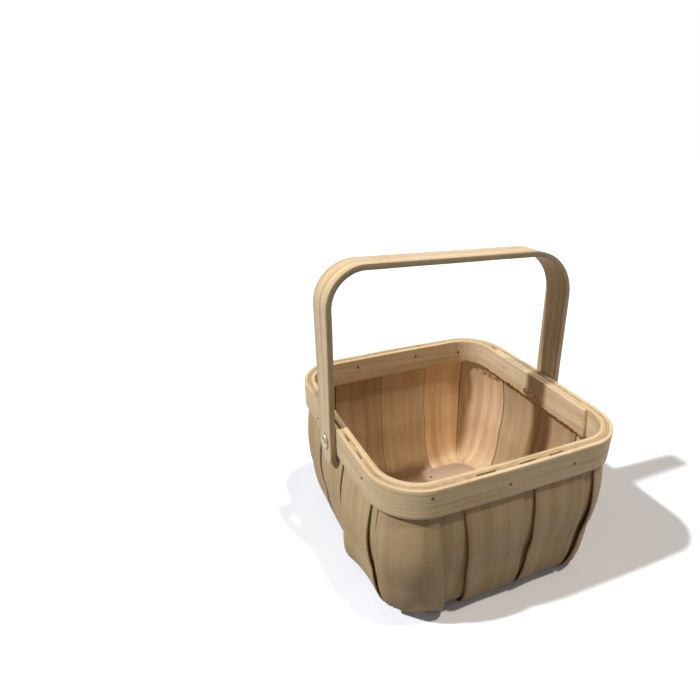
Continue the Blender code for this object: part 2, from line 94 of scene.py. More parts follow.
# bare wood strip: the attribute "grain" is the flat strip's own place in metres,
# x along the grain, y across it, before the strip is bent
def bareWood(name, tones, coordinate="grain"):
    wood = bpy.data.materials.new(name)
    wood.use_nodes = True
    tree = wood.node_tree
    tree.nodes.clear()
    if coordinate == "grain":
        place = addNode(tree, "ShaderNodeAttribute", {"attribute_name": "grain"}).outputs["Vector"]
    else:
        place = addNode(tree, "ShaderNodeTexCoord").outputs["Object"]
    # slow wander, so that no streak runs dead straight: 40 mm long, 1.5 mm aside
    sway = addNode(tree, "ShaderNodeMapping", {"vector_type": "POINT"}, {"Scale": (14, 26, 26)}, {"Vector": place})
    swayNoise = addNode(tree, "ShaderNodeTexNoise", inputs={"Scale": 1.0, "Detail": 2.0}, links={"Vector": sway.outputs["Vector"]})
    swayOff = addNode(tree, "ShaderNodeVectorMath", {"operation": "MULTIPLY_ADD"},
                      {1: (0.0, tones["sway"], 0.0), 2: (0.0, 0.0, 0.0)}, {0: swayNoise.outputs["Color"]})
    bent = addNode(tree, "ShaderNodeVectorMath", {"operation": "ADD"}, links={0: place, 1: swayOff.outputs[0]})
    # broad bands of sapwood and heartwood, 8 to 20 mm wide
    broadMap = addNode(tree, "ShaderNodeMapping", inputs={"Scale": (4, tones["wide"], tones["wide"])}, links={"Vector": bent.outputs[0]})
    broad = addNode(tree, "ShaderNodeTexNoise", inputs={"Scale": 1.0, "Detail": 3.0, "Roughness": 0.5}, links={"Vector": broadMap.outputs[0]})
    broadTone = addNode(tree, "ShaderNodeValToRGB", links={"Fac": broad.outputs["Fac"]},
            stops=[(0.3, tones["dark"]), (0.47, tones["mid"]), (0.7, tones["light"])]).outputs["Color"]
    # growth lines: on the hoops 2 to 2.5 mm apart and half a millimetre wide, on the slats a broad soft figure
    lineMap = addNode(tree, "ShaderNodeMapping", inputs={"Scale": (6, tones["lines"], tones["lines"])}, links={"Vector": bent.outputs[0]})
    lines = addNode(tree, "ShaderNodeTexNoise", inputs={"Scale": 1.0, "Detail": 2.0, "Roughness": 0.5}, links={"Vector": lineMap.outputs[0]})
    lineShade = addNode(tree, "ShaderNodeValToRGB", links={"Fac": lines.outputs["Fac"]},
                        stops=figures[tones["figure"]]).outputs["Color"]
    withLines = addNode(tree, "ShaderNodeMix", {"data_type": "RGBA", "blend_type": "MULTIPLY"}, {0: tones["lineMix"]},
                        {6: broadTone, 7: lineShade})
    # fibres and pores, drawn 0.35 mm wide and 6 mm long so that they show
    fibreMap = addNode(tree, "ShaderNodeMapping", inputs={"Scale": (160, 2600, 2600)}, links={"Vector": bent.outputs[0]})
    fibres = addNode(tree, "ShaderNodeTexNoise", inputs={"Scale": 1.0, "Detail": 2.0, "Roughness": 0.5}, links={"Vector": fibreMap.outputs[0]})
    fibreShade = addNode(tree, "ShaderNodeValToRGB", links={"Fac": fibres.outputs["Fac"]},
            stops=[(0.33, tones["pore"]), (0.48, "#FFFFFF"), (0.7, "#FFFFFF")]).outputs["Color"]
    withFibres = addNode(tree, "ShaderNodeMix", {"data_type": "RGBA", "blend_type": "MULTIPLY"}, {0: tones["fibreMix"]},
                         {6: withLines.outputs[2], 7: fibreShade})
    # handling marks and weathered patches, 30 to 60 mm across
    patchMap = addNode(tree, "ShaderNodeMapping", inputs={"Scale": (22, 30, 30)}, links={"Vector": place})
    patch = addNode(tree, "ShaderNodeTexNoise", inputs={"Scale": 1.0, "Detail": 5.0, "Roughness": 0.6}, links={"Vector": patchMap.outputs[0]})
    patchShade = addNode(tree, "ShaderNodeValToRGB", links={"Fac": patch.outputs["Fac"]},
            stops=[(0.36, tones["patch"]), (0.56, "#FFFFFF")]).outputs["Color"]
    colour = addNode(tree, "ShaderNodeMix", {"data_type": "RGBA", "blend_type": "MULTIPLY"}, {0: tones["patchMix"]},
                     {6: withFibres.outputs[2], 7: patchShade})
    # painted shade: a strip's outer face is darkened by the "outside" colour; on the inner slats that face shows only
    # in the recesses between the outer slats
    if "outside" in tones:
        across = addNode(tree, "ShaderNodeSeparateXYZ", links={0: place})
        outer = addNode(tree, "ShaderNodeMapRange", inputs={"From Min": 0.0003, "From Max": 0.0006, "To Min": 1.0, "To Max": 0.0},
                        links={"Value": across.outputs["Z"]})
        colour = addNode(tree, "ShaderNodeMix", {"data_type": "RGBA", "blend_type": "MULTIPLY"},
                         {7: linear(tones["outside"])}, {0: outer.outputs[0], 6: colour.outputs[2]})
    height = addNode(tree, "ShaderNodeMath", {"operation": "MULTIPLY_ADD"}, {1: 0.6, 2: 0.0}, {0: fibres.outputs["Fac"]})
    heights = addNode(tree, "ShaderNodeMath", {"operation": "ADD"}, links={0: height.outputs[0], 1: lines.outputs["Fac"]})
    bump = addNode(tree, "ShaderNodeBump", inputs={"Strength": tones["bump"], "Distance": 0.0004}, links={"Height": heights.outputs[0]})
    rough = addNode(tree, "ShaderNodeMapRange", inputs={"From Min": 0.3, "From Max": 0.7, "To Min": tones["rough"] - 0.08, "To Max": tones["rough"] + 0.08},
                    links={"Value": lines.outputs["Fac"]})
    # the attribute "tone" makes a whole slat paler or darker than its neighbours; on the inner back and right walls and
    # the front left corner slat this is painted light and shade
    tone = addNode(tree, "ShaderNodeAttribute", {"attribute_name": "tone"})
    tonedWithPaintedLight = addNode(tree, "ShaderNodeVectorMath", {"operation": "SCALE"}, links={0: colour.outputs[2], "Scale": tone.outputs["Fac"]})
    shader = addNode(tree, "ShaderNodeBsdfPrincipled", inputs={"IOR": 1.5, "Specular IOR Level": 0.32},
                     links={"Base Color": tonedWithPaintedLight.outputs[0], "Roughness": rough.outputs[0], "Normal": bump.outputs[0]})
    addNode(tree, "ShaderNodeOutputMaterial", links={"Surface": shader.outputs[0]})
    return wood


# bentwood strip, planed and lightly sanded: pale, with thin curved growth lines and a dry surface
figures = {
    "fine": ((0.455, "#FFFFFF"), (0.5, "#DCD0BE"), (0.545, "#FFFFFF")),
    "broad": ((0.34, "#D8CAB6"), (0.56, "#FFFFFF")),
}
hoopWood = bareWood("sandedBentwoodStrip", {
    "dark": "#CFB790", "mid": "#DBC4A0", "light": "#E3D1B1", "pore": "#D8CAB6", "patch": "#EDE6DC", "figure": "fine",
    "sway": 0.003, "wide": 150, "lines": 420, "lineMix": 0.75, "fibreMix": 0.3, "patchMix": 0.5, "bump": 0.22, "rough": 0.6})
handleWood = bareWood("steamBentHandleStrip", {
    "dark": "#CFB790", "mid": "#DBC4A0", "light": "#E3D1B1", "pore": "#D8CAB6", "patch": "#EDE6DC", "figure": "fine",
    "sway": 0.002, "wide": 190, "lines": 380, "lineMix": 0.75, "fibreMix": 0.3, "patchMix": 0.5, "bump": 0.2, "rough": 0.56})
# rotary-cut veneer, unsanded: warmer, with broad soft figure and a slightly torn surface
slatWood = bareWood("rotaryCutVeneer", {
    "dark": "#B09570", "mid": "#BCA47E", "light": "#C7AF8C", "pore": "#D8CAB6", "patch": "#EDE6DC", "figure": "broad",
    "sway": 0.005, "wide": 120, "lines": 160, "lineMix": 0.3, "fibreMix": 0.35, "patchMix": 0.6, "bump": 0.26, "rough": 0.66})
# the same veneer for the inner layer, set paler and less saturated: painted light on the basket's inside walls
innerVeneerPaintedLighter = bareWood("rotaryCutVeneerPaintedLighterInside", {
    "dark": "#CFAE87", "mid": "#DDBE97", "light": "#E6CBA8", "pore": "#D8CAB6", "patch": "#EDE6DC", "figure": "broad",
    # "outside" is painted shade for the outward face, which shows in the recesses between the outer slats
    "outside": "#DADFD6",
    "sway": 0.005, "wide": 120, "lines": 160, "lineMix": 0.3, "fibreMix": 0.35, "patchMix": 0.6, "bump": 0.26, "rough": 0.66})
panelWood = bareWood("thinPlywoodPanel", {
    "dark": "#B29A85", "mid": "#BEA68F", "light": "#CAB39C", "pore": "#D8CAB6", "patch": "#EDE6DC", "figure": "broad",
    "sway": 0.006, "wide": 70, "lines": 140, "lineMix": 0.4, "fibreMix": 0.35, "patchMix": 0.5, "bump": 0.26, "rough": 0.62})


# brass plated split rivet, stamped: bright on the dome, dull in the hollows
def stampedBrass():
    brass = bpy.data.materials.new("stampedBrass")
    brass.use_nodes = True
    tree = brass.node_tree
    tree.nodes.clear()
    place = addNode(tree, "ShaderNodeTexCoord").outputs["Object"]
    worn = addNode(tree, "ShaderNodeTexNoise", inputs={"Scale": 420.0, "Detail": 4.0}, links={"Vector": place})
    tone = addNode(tree, "ShaderNodeValToRGB", links={"Fac": worn.outputs["Fac"]},
            stops=[(0.35, "#8A8062"), (0.6, "#D8CCA6")]).outputs["Color"]
    rough = addNode(tree, "ShaderNodeMapRange", inputs={"To Min": 0.22, "To Max": 0.46}, links={"Value": worn.outputs["Fac"]})
    bump = addNode(tree, "ShaderNodeBump", inputs={"Strength": 0.15, "Distance": 0.0001}, links={"Height": worn.outputs["Fac"]})
    shader = addNode(tree, "ShaderNodeBsdfPrincipled", inputs={"Metallic": 1.0},
                     links={"Base Color": tone, "Roughness": rough.outputs[0], "Normal": bump.outputs[0]})
    addNode(tree, "ShaderNodeOutputMaterial", links={"Surface": shader.outputs[0]})
    return brass


# steel panel pin, driven flush, gone dark
def darkSteel():
    steel = bpy.data.materials.new("oxidisedSteelPin")
    steel.use_nodes = True
    tree = steel.node_tree
    tree.nodes.clear()
    place = addNode(tree, "ShaderNodeTexCoord").outputs["Object"]
    rust = addNode(tree, "ShaderNodeTexNoise", inputs={"Scale": 900.0, "Detail": 3.0}, links={"Vector": place})
    tone = addNode(tree, "ShaderNodeValToRGB", links={"Fac": rust.outputs["Fac"]},
            stops=[(0.4, "#3E2F24"), (0.65, "#6E5540")]).outputs["Color"]
    shader = addNode(tree, "ShaderNodeBsdfPrincipled", inputs={"Metallic": 0.6, "Roughness": 0.6}, links={"Base Color": tone})
    addNode(tree, "ShaderNodeOutputMaterial", links={"Surface": shader.outputs[0]})
    return steel


brassFinish = stampedBrass()
pinFinish = darkSteel()
print("finishes made")


def sideAxes(side):
    turn = math.pi / 2 * side
    return Vector((math.cos(turn), math.sin(turn), 0)), Vector((math.sin(turn), -math.cos(turn), 0))


# a place on the rim's plan: 0 to 1 is the front, 1 to 2 the right, 2 to 3 the back, 3 to 4 the left
def rimPlace(position, depth):
    side = math.floor(position)
    share = 2 * (position - side) - 1
    half, radius = basket["halfWidth"], basket["cornerRadius"]
    straight = half - radius
    start = straight / half
    turn, along, out = 0.0, share * half, half
    if abs(share) > start:
        turn = math.copysign((abs(share) - start) / (1 - start) * math.pi / 4, share)
        along = math.copysign(straight, share) + radius * math.sin(turn)
        out = straight + radius * math.cos(turn)
    alongShare, outShare = along / half, out / half
    out += basket["bow"] * (1 - alongShare ** 2) * outShare ** 2
    along += basket["bow"] * (1 - outShare ** 2) * alongShare * abs(alongShare)
    alongAxis, outAxis = sideAxes(side)
    return alongAxis * (along - depth * math.sin(turn)) + outAxis * (out - depth * math.cos(turn))


def sidePosition(side, share):
    return side + (1 + share) / 2


def smoothStep(value):
    value = min(max(value, 0), 1)
    return value * value * (3 - 2 * value)


# a table of lengths round the rim, so that a flat strip bends without stretching
def rimTable(start, end, depth, steps=700):
    places, lengths, total, last = [], [], 0.0, None
    for i in range(steps + 1):
        position = start + (end - start) * i / steps
        point = rimPlace(position, depth)
        total += (point - last).length if last else 0
        last = point
        places.append(position)
        lengths.append(total)
    return lengths, places


def lookUp(keys, values, key):
    if key <= keys[0]:
        return values[0]
    if key >= keys[-1]:
        return values[-1]
    high = bisect.bisect_right(keys, key)
    share = (key - keys[high - 1]) / (keys[high] - keys[high - 1])
    return values[high - 1] + (values[high] - values[high - 1]) * share


# a flat strip as it is before bending: x from 0 along it, y across it, z from its outer to its inner face
def flatStrip(length, width, thickness, stepsAlong, stepsAcross, edge, outline=None):
    strip = bmesh.new()
    bmesh.ops.create_grid(strip, x_segments=stepsAlong, y_segments=stepsAcross, size=0.5)
    bmesh.ops.scale(strip, vec=(length, width, 1), verts=strip.verts)
    bmesh.ops.translate(strip, vec=(length / 2, 0, 0), verts=strip.verts)
    if outline:
        for vert in strip.verts:
            vert.co.x, vert.co.y = outline(vert.co.x, vert.co.y)
    bmesh.ops.solidify(strip, geom=strip.faces[:], thickness=thickness)
    bmesh.ops.translate(strip, vec=(0, 0, -min(v.co.z for v in strip.verts)), verts=strip.verts)
    bmesh.ops.recalc_face_normals(strip, faces=strip.faces)
    edges = [e for e in strip.edges if len(e.link_faces) == 2 and e.calc_face_angle(0) > 1.0]
    bmesh.ops.bevel(strip, geom=edges, offset=edge, offset_type="OFFSET", segments=2, profile=0.5,
                    affect="EDGES", material=-1, clamp_overlap=True)
    return strip


# bends a flat strip, and keeps where each point was on it for the wood's figure
def bendStrip(strip, place, toneAt=None):
    grain = strip.verts.layers.float_vector.new("grain")
    if toneAt:
        tone = strip.verts.layers.float.new("tone")
        for vert in strip.verts:
            vert[tone] = toneAt(vert.co)
    shift = Vector((random.uniform(0, 4), random.uniform(0, 4), 0))
    for vert in strip.verts:
        vert[grain] = vert.co + shift
        vert.co = place(vert.co.copy())
    return strip


# how much paler or darker than the rest a piece is: painted light on the right part of the inner back wall; painted
# shade on its middle, its left part, both its corners, the inner right wall and the front left corner slat; the outer
# left slat is only set a little paler and the torn fibres darker
pieceTonesAndPaintedLight = {"veneer_inner_back_1": 1.17, "veneer_inner_back_2": 0.9, "veneer_inner_back_3": 0.76,
              "veneer_inner_back_left_corner": 0.76, "veneer_inner_right_1": 0.7, "veneer_inner_right_2": 0.7,
              "veneer_inner_back_right_corner": 0.95, "veneer_outer_front_left_corner": 0.92,
              "veneer_outer_left_3": 1.04, "tornFibres": 0.5}


def makePiece(name, shape, finish, body, slotName, nodes=(), sharpDeg=35):
    # each piece's tone from the table, partly painted light and shade
    if "tone" not in shape.verts.layers.float:
        tone = shape.verts.layers.float.new("tone")
        for vert in shape.verts:
            vert[tone] = pieceTonesAndPaintedLight.get(name, 1.0)
    bmesh.ops.recalc_face_normals(shape, faces=shape.faces)
    mesh = bpy.data.meshes.new(name)
    shape.to_mesh(mesh)
    shape.free()
    mesh.materials.append(finish)
    mesh.shade_smooth()
    mesh.set_sharp_from_angle(angle=math.radians(sharpDeg))
    piece = bpy.data.objects.new(name, mesh)
    bpy.context.scene.collection.objects.link(piece)
    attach(piece, body)
    if nodes:
        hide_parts(*nodes)
    return piece


# outer hoop: its two ends are thinned and lapped at the middle of the back
outerHoop = {"height": 0.0235, "thickness": 0.003, "lap": 0.056, "thinEnd": 0.0008,
             "lapMiddle": 0.02, "edge": 0.0006, "wave": 0.00025}


def makeOuterHoop():
    lap = outerHoop["lap"] / basket["halfWidth"] / 2
    middle = sidePosition(2, outerHoop["lapMiddle"])
    start, end = middle - lap / 2, middle + 4 + lap / 2
    ramp = 0.006 / basket["halfWidth"] / 2
    lengths, places = rimTable(start, end, 0)
    thickness, thin = outerHoop["thickness"], outerHoop["thinEnd"]
    travel = thickness - basket["gap"] - 2 * thin

    def place(co):
        position = lookUp(lengths, places, co.x)
        outer, inner = 0.0, thickness
        if position < start + lap + ramp:
            under = max(0, 1 - (position - start) / lap)
            blend = smoothStep((start + lap + ramp - position) / ramp)
            outer = (thin + basket["gap"] + travel * under) * blend
        if position > end - lap - ramp:
            under = min(1, (end - position) / lap)
            blend = smoothStep((position - end + lap + ramp) / ramp)
            inner = thickness + (thin + travel * under - thickness) * blend
        depth = outer + (inner - outer) * co.z / thickness
        point = rimPlace(position, depth)
        wave = noise.noise(Vector((position * 6, 0.3 if co.y > 0 else 5.3, 1)))
        nick = max(0, noise.noise(Vector((position * 60, co.y * 20, 4))) - 0.35)
        reach = abs(co.y) / (outerHoop["height"] / 2)
        height = co.y - math.copysign(outerHoop["wave"] * (0.5 + wave * 0.5) + nick * 0.0009, co.y) * reach ** 4
        return Vector((point.x, point.y, basket["hoopBottom"] + outerHoop["height"] / 2 + height))

    strip = flatStrip(lengths[-1], outerHoop["height"], thickness, 640, 8, outerHoop["edge"])
    return makePiece("rimHoopOutside", bendStrip(strip, place), hoopWood, "basket", "hoop_wood", ["outer_hoop"])


# inner hoop: goes once round, then laps inside its own start, which is cut on a slant
innerHoop = {"height": 0.0238, "thickness": 0.0032, "step": 0.05, "slant": 0.0035, "lapEnd": -0.655,
             "lapStart": 0.60, "edge": 0.0006, "torn": 0.0019}


def makeInnerHoop():
    start = sidePosition(1, innerHoop["lapEnd"])
    end = sidePosition(5, innerHoop["lapStart"])
    step = innerHoop["step"] / basket["halfWidth"] / 2
    thickness, height = innerHoop["thickness"], innerHoop["height"]
    low = basket["top"] - height
    lapStop = sidePosition(1, innerHoop["lapStart"]) + 0.014
    lengths, places = rimTable(start, end, depths["innerHoop"])

    def outline(x, y):
        # the start is sawn on a slant, and its corners are broken off
        return x + innerHoop["slant"] * (y / height + 0.5) * max(0, 1 - x / 0.012), y

    def place(co):
        position = lookUp(lengths, places, co.x)
        moved = smoothStep((lapStop + step - position) / step)
        depth = depths["innerHoop"] + (thickness + basket["gap"]) * moved + co.z
        point = rimPlace(position, depth)
        side = position % 4
        torn = innerHoop["torn"] * smoothStep((side - 1.1) / 0.2) * smoothStep((2.5 - side) / 0.2)
        ragged = noise.fractal(Vector((position * 55, 2.7, co.z * 200)), 0.7, 2.2, 5)
        reach = max(0, -co.y / (height / 2)) ** 5
        lift = reach * (0.00015 + torn * max(0, 0.35 + ragged))
        wave = noise.noise(Vector((position * 5, 9.1, 1))) * 0.00018 * max(0, co.y / (height / 2)) ** 3
        return Vector((point.x, point.y, low + height / 2 + co.y + lift - abs(wave)))

    strip = flatStrip(lengths[-1], height, thickness, 640, 10, innerHoop["edge"], outline)
    return makePiece("rimHoopInside", bendStrip(strip, place), hoopWood, "basket", "hoop_wood", ["inner_hoop"])


# fibres torn loose from the inner hoop's lower edge, round the back right corner
fibres = {"count": 18, "from": 1.76, "to": 2.04, "longest": 0.012, "shortest": 0.005, "width": 0.0005, "thickness": 0.0003,
          "hang": 0.0022}


def makeFibres():
    low = basket["top"] - innerHoop["height"]
    whole = bmesh.new()
    grain = whole.verts.layers.float_vector.new("grain")
    for _ in range(fibres["count"]):
        start = random.uniform(fibres["from"], fibres["to"])
        length = random.uniform(fibres["shortest"], fibres["longest"])
        hang, turn = random.uniform(0.0003, fibres["hang"]), random.uniform(-0.8, 0.8)
        moved = smoothStep((sidePosition(1, innerHoop["lapStart"]) + 0.014 + innerHoop["step"] * 5 - start) / (innerHoop["step"] * 5))
        depth = depths["innerHoop"] + (innerHoop["thickness"] + basket["gap"]) * moved + random.uniform(0.0026, 0.004)
        strip = flatStrip(length, fibres["width"], fibres["thickness"], 12, 1, fibres["thickness"] / 4,
                          lambda x, y: (x, y * (1 - 0.8 * abs(2 * x / length - 1) ** 3)))
        for vert in strip.verts:
            share = vert.co.x / length
            point = rimPlace(start + vert.co.x / basket["halfWidth"] / 2, depth - vert.co.z)
            sag = hang * math.sin(math.pi * share) + turn * hang * (share - 0.5)
            vert.co = Vector((point.x, point.y, low - sag + vert.co.y))
        part = bpy.data.meshes.new("fibre")
        strip.to_mesh(part)
        strip.free()
        whole.from_mesh(part)
        bpy.data.meshes.remove(part)
    for vert in whole.verts:
        vert[grain] = vert.co
    return makePiece("tornFibres", whole, slatWood, "basket", "hoop_wood")


makeOuterHoop()
makeInnerHoop()
makeFibres()
print("rim hoops bent")


# veneer slats: share is the place along a side, -1 at its left corner and 1 at its right one, seen from outside
slats = {
    "outerThickness": 0.0012, "innerThickness": 0.001, "edge": 0.0003, "topDrop": 0.0002,
    "stepsAlong": 76, "stepsAcross": 16, "wave": 0.0004, "outerLevels": (0.0, 0.0015), "innerLevels": (0.003, 0.0043),
    "outer": {
        "front": ((-0.43, 0.05), (0.15, 0.60)),
        "right": ((-0.70, -0.27), (-0.22, 0.22), (0.27, 0.70)),
        "back": ((-0.62, -0.20), (-0.15, 0.28), (0.33, 0.70)),
        "left": ((-0.72, -0.30), (-0.26, 0.18), (0.21, 0.70)),
    },
    "inner": {
        "front": ((-0.632, -0.174), (-0.156, 0.344), (0.354, 0.732)),
        "right": ((-0.504, -0.0515), (-0.0485, 0.504)),
        "back": ((-0.824, -0.3645), (-0.3605, 0.1335), (0.1365, 0.624)),
        "left": ((-0.624, -0.136), (-0.124, 0.344), (0.354, 0.779)),
    },
    "outerCorners": {"front_right": (0.72, 0.25), "back_right": (0.74, 0.32), "back_left": (0.74, 0.24)},
    "innerCorners": {"front_right": (0.74, 0.485), "back_right": (0.515, 0.165), "back_left": (0.635, 0.365),
                     "front_left": (0.79, 0.355)},
    "askew": {"outer_front_1": (0.14, 0.14), "outer_front_2": (0.06, 0.06), "inner_front_1": (0.06, 0.0),
              "inner_back_right_corner": (-0.14, 0.0), "inner_right_2": (0.0, -0.14)},
    # under the hoops the slats are pressed together and close the rim, but for these short open places
    "tucked": 0.0215, "tuckEase": 0.006, "outerTuck": (0.00025, 0.375), "innerTuck": (0.00005, 0.3), "tuckGap": 0.0001,
    "rimSlots": ((0.335, 0.4), (0.5, 0.562), (0.628, 0.68), (3.49, 3.54), (3.61, 3.64), (3.715, 3.75)),
    "slotDepth": 0.006, "cornerFlange": 0.016, "cornerLevel": 0.0003,
    # how far an outer slat's left and right edge swells out low on the wall, and how low
    "swell": {"outer_left_3": (0.0066, 0.0, 3), "outer_front_right_corner": (0.0003, 0.0046, 2.4)},
}
# how far a slat's left and right edge stands off the wall, in metres
standOff = {
    "outer_front_1": (0.0011, 0.0004), "outer_front_2": (0.0017, 0.0006), "outer_left_3": (0.0003, 0.001),
    "outer_left_2": (0.0004, 0.0005), "outer_left_1": (0.0003, 0.0006), "outer_right_2": (0.0012, 0.0003),
    "outer_back_1": (0.0002, 0.0003), "outer_back_2": (0.0001, 0.0001), "outer_back_3": (0.0003, 0.0002), "inner_back_2": (0.0003, 0.0009),
    "inner_back_3": (0.0007, 0.0003), "inner_right_1": (0.0003, 0.0008), "outer_front_right_corner": (0.0016, 0.0004),
}


# the front left corner slat leaves the curve and ends in a straight cut on the floor
flap = {"start": 0.81, "past": 0.38, "endShare": 0.93, "standOff": 0.0054, "lift": 0.009, "spread": 5,
        "slide": 1.7, "leftEnd": (-0.082, -0.073), "rightEnd": (-0.045, -0.085)}


# how far the wall has drawn in below the hoop, at a share of its drop
def wallCurve(share):
    bulge = basket["bulge"] * math.sin(math.pi * min(share / basket["bulgeEnd"], 1))
    bend = max(0, (share - basket["bendStart"]) / (1 - basket["bendStart"]))
    return basket["baseInset"] * (1 - (1 - bend ** basket["bendPower"]) ** (1 / basket["bendRoot"])) - bulge


# depth, height and reach under the floor, down a slat, with the length so far
def wallProfile(depth, level, endShare, flange, steps=80):
    rows = [(depth, basket["top"] - slats["topDrop"], 0.0), (depth, basket["hoopBottom"], 0.0)]
    last = math.asin(endShare)
    for i in range(1, steps + 1):
        share = min(math.sin(last * i / steps), 1)
        rows.append((depth + wallCurve(share), basket["hoopBottom"] * (1 - share) + level * share, 0.0))
    if flange:
        rows.append((rows[-1][0], level, flange))
    lengths = [0.0]
    for first, second in zip(rows, rows[1:]):
        lengths.append(lengths[-1] + math.dist(first, second))
    return lengths, [Vector(row) for row in rows]


# the wall draws in less near a corner and along the front, by the same share for every slat there
def easedDepth(position, rowDepth, depth):
    corner = round(position)
    near = smoothStep(1 - abs(position - corner) / basket["fullnessReach"])
    ease = basket["cornerFullness"][corner % 4] * near + basket["sideFullness"][math.floor(position) % 4] * (1 - near)
    flat = basket["cornerFlatness"][corner % 4] * near
    return rowDepth - ease * max(0, rowDepth - depth) + flat * max(0, depth - rowDepth)


# the rim places that the slats of one layer take up, in order round it
def spansOf(layer):
    spans = [(sidePosition(side, first), sidePosition(side, last))
             for side, sideName in enumerate(("front", "right", "back", "left")) for first, last in slats[layer][sideName]]
    for side, cornerName in enumerate(("front_right", "back_right", "back_left", "front_left")):
        if cornerName in slats[layer + "Corners"]:
            first, past = slats[layer + "Corners"][cornerName]
            spans.append((sidePosition(side, first), sidePosition(side + 1, past - 1)))
    if layer == "outer":
        spans.append((sidePosition(3, flap["start"]), sidePosition(4, flap["past"] - 1)))
    return sorted(spans)


# the middle of the space to the next slat on each side
def middlesBeside(layer, start):
    spans = spansOf(layer)
    spans = [(first - 4, last - 4) for first, last in spans] + spans + [(first + 4, last + 4) for first, last in spans]
    here = min(range(len(spans)), key=lambda i: abs(spans[i][0] - start))
    return (spans[here - 1][1] + spans[here][0]) / 2, (spans[here][1] + spans[here + 1][0]) / 2


# a slat's outer face, then its thickness along the face's own normal
def bendSlat(strip, face, tuck=(0, 0)):
    found = {}

    def faceAt(x, y):
        key = (round(x, 6), round(y, 6))
        if key not in found:
            found[key] = face(x, y)
        return found[key]

    def place(co):
        step = 0.0004
        here = faceAt(co.x, co.y)
        down = faceAt(co.x + step, co.y) - faceAt(co.x - step, co.y)
        across = faceAt(co.x, co.y + step) - faceAt(co.x, co.y - step)
        under = smoothStep((slats["tucked"] - co.x) / slats["tuckEase"])
        return here + across.cross(down).normalized() * (co.z * (1 + tuck[1] * under) - tuck[0] * under)

    return bendStrip(strip, place)


def makeSlat(name, layer, side, start, end, depth, level, flange, endShare=1.0):
    thickness = slats[layer + "Thickness"]
    outward = 1 if layer == "outer" else -1
    lengths, rows = wallProfile(depth, level, endShare, flange)
    wideLengths, places = rimTable(start - 0.08, end + 0.08, depth, 300)
    leftEdge, rightEdge = lookUp(places, wideLengths, start), lookUp(places, wideLengths, end)
    width, middle = rightEdge - leftEdge, (leftEdge + rightEdge) / 2
    leftMiddle, rightMiddle = (lookUp(places, wideLengths, mark) for mark in middlesBeside(layer, start))
    spread = {-1: leftEdge - leftMiddle - slats["tuckGap"], 1: rightMiddle - rightEdge - slats["tuckGap"]}
    out = sideAxes(side)[1]
    if flange == slats["cornerFlange"]:
        out = (out + sideAxes(side + 1)[1]).normalized()
    left, right = standOff.get(name, (random.uniform(0.0001, 0.0008), random.uniform(0.0001, 0.0008)))
    leftAskew, rightAskew = slats["askew"].get(name, (0, 0))
    leftSwell, rightSwell, swellLow = slats["swell"].get(name, (0, 0, 1))
    seed = random.uniform(0, 100)
    wallStart, wallEnd = lengths[1], lengths[-2] if flange else lengths[-1]

    def outline(x, y):
        way = 1 if y > 0 else -1
        side = 0.00022 * noise.noise(Vector((x * 70, seed, 3 if y > 0 else 8))) * abs(y) / (width / 2)
        top = max(0, 1 - x / 0.004) * (0.0001 + 0.0003 * abs(noise.noise(Vector((y * 420, seed, 1)))))
        end = max(0, 1 - (lengths[-1] - x) / 0.004) * 0.0008 * abs(noise.noise(Vector((y * 420, seed, 6))))
        under = smoothStep((slats["tucked"] - x) / slats["tuckEase"])
        y += way * spread[way] * under * abs(y) / (width / 2)
        mark = lookUp(wideLengths, places, y + middle) % 4
        if layer == "outer" and any(first < mark < last for first, last in slats["rimSlots"]):
            top += slats["slotDepth"] * max(0, 1 - x / 0.02)
        return x + top - end, y + side

    def face(x, y):
        row = lookUp(lengths, rows, x)
        across = y / (width / 2)
        drop = min(max((basket["hoopBottom"] - row.y) / (basket["hoopBottom"] - level), 0), 1)
        position = lookUp(wideLengths, places, y + middle)
        position += (leftAskew * (1 - across) + rightAskew * (1 + across)) / 4 * drop
        swell = leftSwell * ((1 - across) / 2) ** 3 + rightSwell * ((1 + across) / 2) ** 3
        swell *= math.sin(math.pi * drop ** swellLow)
        point = rimPlace(position, easedDepth(position, row.x, depth) - swell) - out * row.z
        point.z = row.y
        share = min(max((x - wallStart) / (wallEnd - wallStart), 0), 1)
        body = math.sin(math.pi * min(share / 0.9, 1)) ** 0.7 if share < 0.9 else 0
        lift = left * smoothStep((-across - 0.1) / 0.9) + right * smoothStep((across - 0.1) / 0.9)
        lift += slats["wave"] * abs(noise.noise(Vector((x * 16, y * 26, seed))))
        outHere = (rimPlace(position, 0) - rimPlace(position, 0.01)).normalized()
        point += outHere * (outward * lift * body)
        # no slat bellies out past the solid's own box
        point.y = min(max(point.y, cadBox[0][1] + 0.00002), cadBox[1][1] - 0.00002)
        return point

    strip = flatStrip(lengths[-1], width, thickness, slats["stepsAlong"], slats["stepsAcross"], slats["edge"], outline)
    # the inner layer takes the veneer that is painted lighter
    finish, slotName = (slatWood, "slat_wood") if layer == "outer" else (innerVeneerPaintedLighter, "inner_slat_wood")
    node = name.replace(layer + "_", layer + "_slat_")
    return makePiece("veneer_" + name, bendSlat(strip, face, slats[layer + "Tuck"]), finish, "basket", slotName, [node])


for layer in ("outer", "inner"):
    for side, sideName in enumerate(("front", "right", "back", "left")):
        for number, (first, last) in enumerate(slats[layer][sideName], 1):
            makeSlat(f"{layer}_{sideName}_{number}", layer, side, sidePosition(side, first), sidePosition(side, last),
                     depths[layer + "Slat"], slats[layer + "Levels"][side % 2], basket["flange"])
    for side, cornerName in enumerate(("front_right", "back_right", "back_left", "front_left")):
        if cornerName in slats[layer + "Corners"]:
            first, past = slats[layer + "Corners"][cornerName]
            makeSlat(f"{layer}_{cornerName}_corner", layer, side, sidePosition(side, first),
                     sidePosition(side + 1, past - 1), depths[layer + "Slat"],
                     slats[layer + "Levels"][0] + (slats["cornerLevel"] if layer == "inner" else 0),
                     slats["cornerFlange"] if layer == "inner" else 0.0)
print("slats bent")



